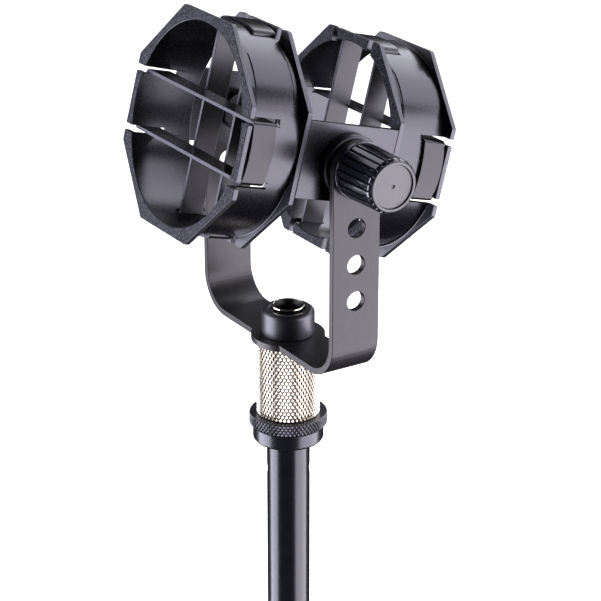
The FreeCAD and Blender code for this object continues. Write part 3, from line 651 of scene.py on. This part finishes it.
def make_lock_ring():
    band = LOCK_BASE + 1.05, LOCK_TOP - 0.12
    mesh = knurled("lock", TAPPED_RADIUS, LOCK_RADIUS, LOCK_BASE, LOCK_TOP, band, starts=62, rise=2.2,
                   depth=0.5, flat=0.12, edge=0.3, chamfer=1.0)
    place(mesh, "lock_ring_knurled", UPRIGHT, "lock_ring", [lock_black], ["lock_ring"],
          smooth=20, even=False)


# ---------------------------------------------------------------- adapter

def make_barrel():
    """Knurled barrel, and the neck that goes up through the yoke and is flared out over the cap."""
    band = BARREL_BASE + 0.28, BARREL_TOP - 0.25
    mesh = knurled("barrel", TAPPED_RADIUS, BARREL_RADIUS, BARREL_BASE, BARREL_TOP, band, starts=49,
                   rise=2.84, depth=0.55, flat=0.06, edge=0.3, chamfer=0.6)
    place(mesh, "barrel_knurled", UPRIGHT, "adapter", [nickel], ["adapter_barrel"], smooth=12,
          even=False)
    neck_base = BARREL_TOP - NECK_DEPTH
    flare_base = FLARE_TOP - FLARE_HEIGHT
    profile = softened([
        (NECK_BORE, neck_base), (NECK_RADIUS, neck_base), (NECK_RADIUS, flare_base, 1.0),
        (FLARE_RADIUS, FLARE_TOP - 0.5, 0.3), (FLARE_RADIUS, FLARE_TOP, 0.3),
        (FLARE_MOUTH, FLARE_TOP, 0.3), (NECK_BORE, flare_base, 0.8)], 0.1, steps=5)
    neck = lathe("neck", profile, 128)
    neck.materials.append(bright_nickel)
    neck.materials.append(bore_painted_shade)
    # The faces inside the flare's mouth get the painted shade.
    paint(neck, lambda face: face.center.xy.length < FLARE_MOUTH, 1)
    place(neck, "neck_flared", UPRIGHT, "adapter", [])


def make_cap():
    """Round boss: soft upper edge, a mouth round the neck and a pocket below for the spring."""
    mouth_base = CAP_TOP - CAP_MOUTH_DEPTH
    pocket_top = CAP_BASE + CAP_POCKET_DEPTH
    profile = softened([
        (CAP_POCKET, CAP_BASE, 0.1), (CAP_RADIUS, CAP_BASE, 0.25), (CAP_RADIUS, CAP_TOP, 2.3),
        (CAP_MOUTH, CAP_TOP, 0.9), (CAP_MOUTH, mouth_base, 0.2), (NECK_HOLE, mouth_base, 0.1),
        (NECK_HOLE, pocket_top, 0.05), (CAP_POCKET, pocket_top, 0.1)], 0, steps=6)
    place(lathe("cap", profile, 192), "cap_turned", UPRIGHT, "adapter", [cap_satin],
          ["swivel_cap"])


# ---------------------------------------------------------------- yoke

def make_yoke():
    """The strap's flat pattern, with its pad, holes and rounded ends, bent up at both sides."""
    half = STRAP_WIDTH / 2
    middle_radius = BEND_RADIUS - STRAP / 2
    straight = ARM_OUTER - BEND_RADIUS
    bend_length = middle_radius * math.pi / 2
    bend_base = STRAP_BASE + BEND_RADIUS
    pivot_reach = straight + bend_length + PIVOT_HEIGHT - bend_base
    pad_angle = math.asin(half / PAD_RADIUS)
    pad_reach = PAD_RADIUS * math.cos(pad_angle)
    blend = 0.9
    edge = 0.32
    longest_step = 2.0
    bend_steps = 18
    end_points, pad_points, neck_hole_points, arm_hole_points = 33, 41, 64, 56

    def rounded_end(side):
        return circle(half, (side * pivot_reach, 0), end_points, -math.pi / 2 * side, math.pi)

    def pad_side(side):
        start = math.pi + pad_angle if side < 0 else pad_angle
        return circle(PAD_RADIUS, (0, 0), pad_points, start, math.pi - 2 * pad_angle)

    def long_edge(first, last, level):
        steps = int(abs(last - first) / longest_step)
        return [(first + (last - first) * i / steps, level) for i in range(1, steps)]

    outline = pad_side(-1)
    outline += long_edge(pad_reach + blend, pivot_reach, -half)
    outline += rounded_end(1)
    outline += long_edge(pivot_reach, pad_reach + blend, half)
    outline += pad_side(1)
    outline += long_edge(-pad_reach - blend, -pivot_reach, half)
    outline += rounded_end(-1)
    outline += long_edge(-pivot_reach, -pad_reach - blend, -half)
    holes = [circle(NECK_HOLE, (0, 0), neck_hole_points, 0, -math.tau)]
    for side in (-1, 1):
        holes += [circle(ARM_HOLE, (side * (pivot_reach - drop), 0), arm_hole_points, 0, -math.tau)
                  for drop in ARM_HOLE_DROPS]
    stations = []
    for side in (-1, 1):
        stations += [side * (straight + bend_length * step / bend_steps) for step in range(bend_steps + 1)]
    mesh = slab("yoke", [outline, *holes], STRAP, edge, stations)
    for vertex in mesh.vertices:
        along, across, off = vertex.co
        side = 1 if along >= 0 else -1
        reach = abs(along)
        level = STRAP_BASE + STRAP / 2
        if reach <= straight:
            where = (along, level + off)
        elif reach <= straight + bend_length:
            angle = (reach - straight) / middle_radius
            radius = middle_radius - off
            where = (side * (straight + radius * math.sin(angle)), bend_base - radius * math.cos(angle))
        else:
            where = (side * (ARM_OUTER - STRAP / 2 - off), bend_base + reach - straight - bend_length)
        vertex.co = (across, where[0], where[1])
    clean(mesh)
    place(mesh, "yoke_strap", UPRIGHT, "yoke", [powder], ["yoke"], smooth=32)


# ---------------------------------------------------------------- cradle

EIGHTH = math.tau / 8
CORNER_CUT = 0.12


def octagon(angle):
    """Distance from the axis to an octagon's edge, over its flat's distance; its corners are cut a little."""
    off_flat = (angle + EIGHTH / 2) % EIGHTH - EIGHTH / 2
    off_corner = angle % EIGHTH - EIGHTH / 2
    corner = 1 / math.cos(EIGHTH / 2) - CORNER_CUT / FLAT
    return np.minimum(1 / np.cos(off_flat), corner / np.cos(off_corner))


PANEL_SPANS = ((23.0, 66.0), (114.0, 157.0))
PANEL_HEIGHT = 0.35
PANEL_MARGIN = 5.25
PANEL_STEP = 0.18
PANEL_RISE = 16.0
GROOVE_WIDTH = 0.55
GROOVE_DEPTH = 0.14
RIM_DEPTH = 0.5
SLOT_EDGE = 0.16
MARK = 0.001  # an unseen difference in radius, which tells the panel's and the groove's points apart


def ring_angles():
    """Even turns, with two extra ones where each of the octagon's corners is cut."""
    step, half_cut = 1.25, 0.62
    angles = set(np.round(np.arange(0, 360, step), 4))
    for corner in range(8):
        for off in (-half_cut, half_cut):
            angles.add(round(22.5 + 45 * corner + off, 4))
    return np.radians(sorted(angles))


def ring_mesh(name):
    """A moulded ring about Z: round wall, two octagonal flanges, raised panels, and slots for the bands."""
    near, far = RING_NEAR, RING_FAR
    low_panel, high_panel = near + PANEL_MARGIN, far - PANEL_MARGIN
    on_panel, in_groove = WALL_OUTER + MARK, WALL_OUTER - MARK
    corners = [
        (WALL_INNER, near, 0.45), (FLAT, near, 0.28), (FLAT, near + FLANGE, 0.22),
        (WALL_OUTER, near + FLANGE, 0.35),
        (WALL_OUTER, low_panel - GROOVE_WIDTH * 2), (in_groove, low_panel - GROOVE_WIDTH * 1.7),
        (in_groove, low_panel - GROOVE_WIDTH * 1.3), (WALL_OUTER, low_panel - GROOVE_WIDTH),
        (WALL_OUTER, low_panel - PANEL_STEP), (on_panel, low_panel + PANEL_STEP),
        (on_panel, high_panel - PANEL_STEP), (WALL_OUTER, high_panel + PANEL_STEP),
        (WALL_OUTER, far - FLANGE, 0.65), (FLAT, far - FLANGE, 0.22),
        (FLAT, far, 0.28), (WALL_INNER, far, 0.45)]
    profile = softened(corners, 0)

    def shape(angle, radius, height):
        rim = radius > FLAT - RIM_DEPTH
        reach = np.where(rim, radius + FLAT * (octagon(angle) - 1), radius)
        panel = np.zeros_like(radius)
        degrees = np.degrees(angle)
        for start, end in PANEL_SPANS:
            rise = np.clip((degrees - start) / PANEL_RISE, 0, 1) * np.clip((end - degrees) / PANEL_RISE, 0, 1)
            panel = np.maximum(panel, rise * rise * (3 - 2 * rise))
        raised = np.abs(radius - on_panel) < MARK / 2
        grooved = np.abs(radius - in_groove) < MARK / 2
        return reach + panel * (PANEL_HEIGHT * raised - GROOVE_DEPTH * grooved)

    mesh = lathe(name, profile, ring_angles(), shape)
    half = SLOT_WIDTH / 2
    inside, outside, past = 30, 50, 5
    tools = []
    for side in (-1, 1):
        outer, inner = side * OUTER_SLOT_OFFSET, side * INNER_SLOT_OFFSET
        for end in (-1, 1):
            ends = sorted((end * inside, end * outside))
            tools.append(box_mesh(f"outer_{side}_{end}", (ends[0], outer - half, far - SLOT_REACH[name]),
                                  (ends[1], outer + half, far + past)))
            tools.append(box_mesh(f"inner_{side}_{end}", (inner - half, ends[0], near - past),
                                  (inner + half, ends[1], near + INNER_SLOT_REACH)))
    mesh = combined(mesh, tools, "DIFFERENCE")
    return bevelled(mesh, SLOT_EDGE, angle=62)


def paint(mesh, test, index):
    """Give the faces that pass a test another of the piece's materials."""
    for face in mesh.polygons:
        if test(face):
            face.material_index = index


# A ring is turned about Z and then laid along the cradle's X.
LAID = Matrix(((0, 0, 1, 0), (1, 0, 0, 0), (0, 1, 0, 0), (0, 0, 0, 1)))
ENDS = (("rear", CRADLE), ("front", CRADLE_TURNED))


def on_rim(face):
    return face.center.xy.length > FLAT - 0.4


def on_flange_face(face):
    off_the_end = min(abs(face.center.z - RING_NEAR), abs(face.center.z - RING_FAR))
    return abs(face.normal.z) > 0.9 and off_the_end < 0.05


# Faces of the mouth's rounded inner edge; they get the lighter rim colour as a painted highlight.
def on_mouth_edge_painted_highlight(face):
    return 0.1 < abs(face.normal.z) < 0.9 and face.center.xy.length < WALL_INNER + 0.5


def make_rings():
    for end, where in ENDS:
        mesh = ring_mesh(end)
        mesh.materials.clear()
        for material in (moulding, moulding_face, rim_finish_and_painted_highlight):
            mesh.materials.append(material)
        paint(mesh, on_rim, 2)
        paint(mesh, on_flange_face, 1)
        # Painted highlight: the lighter rim colour along each mouth's inner edge.
        paint(mesh, on_mouth_edge_painted_highlight, 2)
        place(mesh, f"{end}_ring_moulding", where @ LAID, "cradle", [], [f"{end}_ring"])


def band_path(chord):
    """Middle line of a band: two chords, and the wraps round the wall that join them."""
    radius = WALL_OUTER + BAND_CLEAR + BAND_THICK / 2
    reach = math.asin(chord / radius)
    wrap_points = 15
    corners = []
    for centre in (0, math.pi):
        wrap = circle(radius, (0, 0), wrap_points, centre - reach, reach * 2)
        corners += [(*wrap[0], BAND_FOLD), *wrap[1:-1], (*wrap[-1], BAND_FOLD)]
    return softened(corners, 0, steps=6)


def divided(path, longest):
    """The path with its long runs divided."""
    made = []
    for index, point in enumerate(path):
        after = path[(index + 1) % len(path)]
        steps = max(1, math.ceil(math.dist(point, after) / longest))
        made += [Vector(point).lerp(Vector(after), step / steps)[:] for step in range(steps)]
    return made


def make_bands():
    """Elastic loops. Level ones lie near the far flange and upright ones near the other."""
    half = BAND_THICK / 2
    longest, edge_facing = 2.5, 0.8
    section = softened([(0, -half), (BAND_WIDTH, -half), (BAND_WIDTH, half), (0, half)], 0.22, steps=2)
    for end, where in ENDS:
        for kind, start, chord, turn in (("outer", OUTER_BAND_START[end], OUTER_CHORD, 0),
                                         ("inner", INNER_BAND_START[end], INNER_CHORD, math.pi / 2)):
            mesh = sweep(f"{end}_{kind}", divided(band_path(chord), longest), section)
            mesh.materials.append(rubber)
            mesh.materials.append(band_edge_painted_highlight)
            # The side faces get the lighter colour, a painted highlight.
            paint(mesh, lambda face: abs(face.normal.x) > edge_facing, 1)
            spot = where @ Matrix.Translation((start, 0, 0)) @ Matrix.Rotation(turn, 4, "X")
            place(mesh, f"{end}_{kind}_band_loop", spot, "cradle", [],
                  [f"{end}_{kind}_band"])


def make_side_plates():
    """Flat plates between the rings, each with a boss inside that holds a brass insert."""
    half_length, half_height = RING_NEAR - PLATE_SEAT_GAP, PLATE_HEIGHT / 2
    plate_inside = FLAT - PLATE_THICK
    boss_root = plate_inside + 1.0
    below, above = 30, 45
    outline = softened([(-half_length, -half_height), (half_length, -half_height), (half_length, half_height),
                        (-half_length, half_height)], 0.3)
    for name, side in SIDES:
        plate = slab(name, [outline], PLATE_THICK, edge=0.22)
        plate.transform(Matrix.Translation((0, 0, FLAT - PLATE_THICK / 2)))
        boss = lathe(name + "_boss", softened([
            (INSERT_RADIUS, BOSS_END, 0.3), (BOSS_RADIUS, BOSS_END, 0.5), (BOSS_RADIUS, plate_inside),
            (BOSS_RADIUS, boss_root), (INSERT_RADIUS, boss_root)], 0), 96)
        plate = combined(plate, [boss], "UNION")
        hole = lathe(name + "_hole", [(0, below), (INSERT_RADIUS, below), (INSERT_RADIUS, above),
                                      (0, above)], 96)
        drop_axis_faces(hole)
        plate = combined(plate, [hole], "DIFFERENCE")
        where = CRADLE @ Matrix.Rotation(-math.pi / 2 * side, 4, "X")
        place(plate, f"{name}_side_plate_panel", where, "cradle", [moulding],
              [f"{name}_side_plate"])


def make_turned_pivot_pieces():
    """Inserts, spacers and washers on the tilt axis."""
    dish, dish_floor = 8.4, SPACER_FACE - 0.2
    for name, side in SIDES:
        insert = softened([(PIVOT_HOLE, INSERT_END), (INSERT_RADIUS, INSERT_END), (INSERT_RADIUS, FLAT),
                           (PIVOT_HOLE, FLAT)], 0.25)
        place(lathe(name, insert, 96), f"{name}_insert_brass", on_pivot(side), "cradle", [brass],
              [f"{name}_insert"])
        spacer = softened([
            (PIVOT_HOLE, FLAT, 0.05), (SPACER_RADIUS, FLAT, 0.3), (SPACER_RADIUS, SPACER_FACE, 0.85),
            (dish + 0.2, SPACER_FACE, 0.3), (dish, dish_floor, 0.1), (SPACER_SLEEVE, dish_floor, 0.1),
            (SPACER_SLEEVE, SPACER_END, 0.3), (PIVOT_HOLE, SPACER_END, 0.1)], 0, steps=5)
        place(lathe(name, spacer, 160), f"{name}_spacer_disc", on_pivot(side), "cradle", [spacer_black],
              [f"{name}_spacer"])
    for name, side, radius, thickness in (("knob_washer", -1, 9.0, 1.0), ("pivot_washer", 1, 7.5, 1.2)):
        top = WASHER_BASE + thickness
        washer = softened([(PIVOT_HOLE, WASHER_BASE), (radius, WASHER_BASE), (radius, top),
                           (PIVOT_HOLE, top)], 0.18)
        place(lathe(name, washer, 128), f"{name}_steel", on_pivot(side), "yoke", [zinc], [name])


def make_knob():
    """Skirt, lands between narrow grooves, a bevelled end, and a disc let into the face."""
    near, far = LAND_RADII
    land_base, land_end = SKIRT_TOP + 1.2, KNOB_END - 2.3
    profile = softened([
        (KNOB_BORE, KNOB_BASE, 0.1), (SKIRT_RADIUS, KNOB_BASE, 0.3), (SKIRT_RADIUS, SKIRT_TOP, 0.55),
        (near - 0.35, SKIRT_TOP, 0.15), (near - 0.3, SKIRT_TOP + 0.35, 0.2), (near, SKIRT_TOP + 0.75, 0.3)],
        0, steps=4, closed=False)
    profile += [(near + (far - near) * share, land_base + (land_end - land_base) * share)
                for share in np.linspace(0, 1, 6)]
    bevel = softened([
        (far, land_end), (far - 0.02, KNOB_END - 1.25, 1.4), (9.3, KNOB_END - 0.45, 0.25),
        (8.85, KNOB_END, 0.3), (RECESS_RADIUS + 0.09, KNOB_END, 0.1), (RECESS_RADIUS, KNOB_END - 1.0, 0.1),
        (KNOB_BORE, DISC_BASE)], 0, steps=4, closed=False)
    profile += bevel[1:]

    def flutes(angle, radius, height):
        phase = np.abs((angle / math.tau * FLUTES) % 1 - 0.5) * 2
        edge = np.clip((phase - LAND_SHARE) / (1 - LAND_SHARE), 0, 1)
        floor = near - (near - GROOVE_FLOOR) * np.sin(edge * math.pi / 2) ** 0.8
        crown = LAND_CROWN * (phase / LAND_SHARE) ** 2 * (phase < LAND_SHARE)
        body = (height > SKIRT_TOP + 0.3) & (radius > GROOVE_FLOOR - 0.2) & (height < KNOB_END)
        return np.where(body, np.minimum(radius - crown, floor), radius)

    # Closer together in the groove and at its edges than along the land.
    shares = np.array([0, 0.06, 0.12, 0.155, 0.185, 0.22, 0.35, 0.5, 0.65, 0.78, 0.815, 0.845, 0.88, 0.94])
    angles = np.unique(np.round((np.arange(FLUTES)[:, None] + shares).ravel() / FLUTES * math.tau, 6))
    knob = lathe("knob", profile, angles, flutes)
    knob.materials.append(knob_gloss)
    knob.materials.append(knob_satin)
    paint(knob, lambda face: face.center.z > KNOB_END - 0.4, 1)
    place(knob, "knob_fluted", on_pivot(-1), "knob", [], ["pivot_knob"], smooth=28)

    disc_radius, disc_face = RECESS_RADIUS - 0.04, KNOB_END - 0.6
    disc = softened([
        (0, DISC_BASE, 0), (disc_radius, DISC_BASE, 0.1), (disc_radius, disc_face, 0.1),
        (0.75, disc_face, 0.3), (0.4, disc_face - 0.35, 0.2), (0, disc_face - 0.45, 0)], 0, steps=4)
    mesh = lathe("disc", disc, 128)
    drop_axis_faces(mesh)
    place(mesh, "knob_end_disc", on_pivot(-1), "knob", [knob_satin], ["knob_cap"])


def make_screw():
    """Socket head screw, the far pivot, with a serrated head and a hexagonal socket."""
    socket_floor = HEAD_TOP - SOCKET_DEPTH
    profile = softened([
        (0, SCREW_END, 0), (SCREW_RADIUS, SCREW_END, 0.3), (SCREW_RADIUS, HEAD_BASE, 0.1),
        (HEAD_RADIUS, HEAD_BASE, 0.2), (HEAD_RADIUS, HEAD_TOP, 0.45), (SOCKET * 1.2, HEAD_TOP, 0.15),
        (SOCKET, HEAD_TOP - 0.25, 0.05), (SOCKET, socket_floor, 0.05), (0, socket_floor, 0)], 0, steps=4)

    def shape(angle, reach, height):
        off_flat = (angle + math.pi / 6) % (math.pi / 3) - math.pi / 6
        in_socket = (height > socket_floor - 0.1) & (np.abs(reach - SOCKET) < 0.06)
        serration = SERRATION_DEPTH * np.abs((angle / math.tau * SERRATIONS) % 1 - 0.5) * 2
        on_side = (reach > HEAD_RADIUS - 0.02) & (height > HEAD_BASE)
        return np.where(in_socket, reach / np.cos(off_flat), np.where(on_side, reach - serration, reach))

    mesh = lathe("screw", profile, 240, shape)
    drop_axis_faces(mesh)
    place(mesh, "pivot_screw_socket_head", on_pivot(1), "cradle", [oxide], ["pivot_screw"])


def dress_hidden_nodes():
    """CAD nodes that stay as they are get their finish here."""
    for node, material in (("lower_washer", nylon), ("swivel_spring", spring), ("knob_screw", zinc)):
        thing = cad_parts[node]
        for slot in thing.material_slots:
            slot.material = material


# ---------------------------------------------------------------- studio

CAMERA_PLACE = Vector((-0.39770, -0.64378, 0.46762))
CAMERA_AIM = Vector((0.01260, 0.01115, 0.14910))
LENS = 129.12
LIGHT_AIM = 0.17


def make_camera():
    camera = bpy.data.cameras.new("camera")
    camera.lens = LENS
    camera.sensor_width = 36
    camera.clip_start = 0.05
    camera.clip_end = 20
    view = bpy.data.objects.new("camera", camera)
    bpy.context.scene.collection.objects.link(view)
    view.location = CAMERA_PLACE
    view.rotation_euler = (CAMERA_AIM - CAMERA_PLACE).to_track_quat("-Z", "Y").to_euler()
    bpy.context.scene.camera = view


def softbox(name, azimuth, elevation, distance, drop, size, radiance, colour=(1, 1, 1)):
    """A rectangular light turned to the mount and lowered by drop. Azimuth is measured from -Y, turning
    towards +X.
    """
    light = bpy.data.lights.new(name, "AREA")
    light.shape = "RECTANGLE"
    light.size, light.size_y = size
    light.energy = radiance * math.pi * size[0] * size[1]
    light.color = colour
    thing = bpy.data.objects.new(name, light)
    bpy.context.scene.collection.objects.link(thing)
    a, e = math.radians(azimuth), math.radians(elevation)
    back = Vector((math.sin(a) * math.cos(e), -math.cos(a) * math.cos(e), math.sin(e)))
    thing.location = Vector((0, 0, LIGHT_AIM - drop)) + back * distance
    thing.rotation_euler = (-back).to_track_quat("-Z", "Y").to_euler()
    thing.visible_camera = False


def make_studio():
    softbox("left_box", -117, 0, 0.9, 0.22, (0.84, 1.36), 9.6, (0.93, 0.93, 1.0))
    softbox("right_box", 42, 0, 0.9, 0.31, (1.3, 1.42), 7.4, (0.98, 0.95, 1.0))
    softbox("upper_box", 98, 40, 0.9, 0, (1.2, 0.66), 3.9, (0.93, 0.93, 1.0))
    softbox("top_light", 184, 42, 0.9, 0, (0.8, 0.4), 1.8, (0.93, 0.93, 1.0))
    floor_mesh = bpy.data.meshes.new("floor")
    reach = 6.0
    floor_mesh.from_pydata([(-reach, -reach, 0), (reach, -reach, 0), (reach, reach, 0), (-reach, reach, 0)],
                           [], [(0, 1, 2, 3)])
    floor = as_object(floor_mesh)
    floor.location.z = -0.0005
    paper = bpy.data.materials.new("floor_paper")
    paper.use_nodes = True
    shader = paper.node_tree.nodes["Principled BSDF"]
    shader.inputs["Base Color"].default_value = (0.86, 0.86, 0.87, 1)
    shader.inputs["Roughness"].default_value = 0.9
    shader.inputs["Specular IOR Level"].default_value = 0.1
    shader.inputs["Emission Color"].default_value = (1, 1, 1, 1)
    shader.inputs["Emission Strength"].default_value = 0.75
    floor_mesh.materials.append(paper)
    floor.visible_glossy = False
    floor.visible_diffuse = False
    floor.visible_shadow = False

    world = bpy.data.worlds.new("world")
    bpy.context.scene.world = world
    world.use_nodes = True
    nodes, links = world.node_tree.nodes, world.node_tree.links
    seen = nodes["Background"]
    seen.inputs["Color"].default_value = (1, 1, 1, 1)
    lit = nodes.new("ShaderNodeBackground")
    lit.inputs["Color"].default_value = (0.015, 0.015, 0.02, 1)
    lit.inputs["Strength"].default_value = 1.0
    rays = nodes.new("ShaderNodeLightPath")
    mix = nodes.new("ShaderNodeMixShader")
    links.new(rays.outputs["Is Camera Ray"], mix.inputs["Fac"])
    links.new(lit.outputs["Background"], mix.inputs[1])
    links.new(seen.outputs["Background"], mix.inputs[2])
    links.new(mix.outputs["Shader"], nodes["World Output"].inputs["Surface"])
    bpy.context.scene.view_settings.view_transform = "Standard"


make_camera()
make_studio()
make_tube()
make_stud()
make_lock_ring()
make_barrel()
make_cap()
make_yoke()
make_rings()
make_bands()
make_side_plates()
make_turned_pivot_pieces()
make_knob()
make_screw()
dress_hidden_nodes()
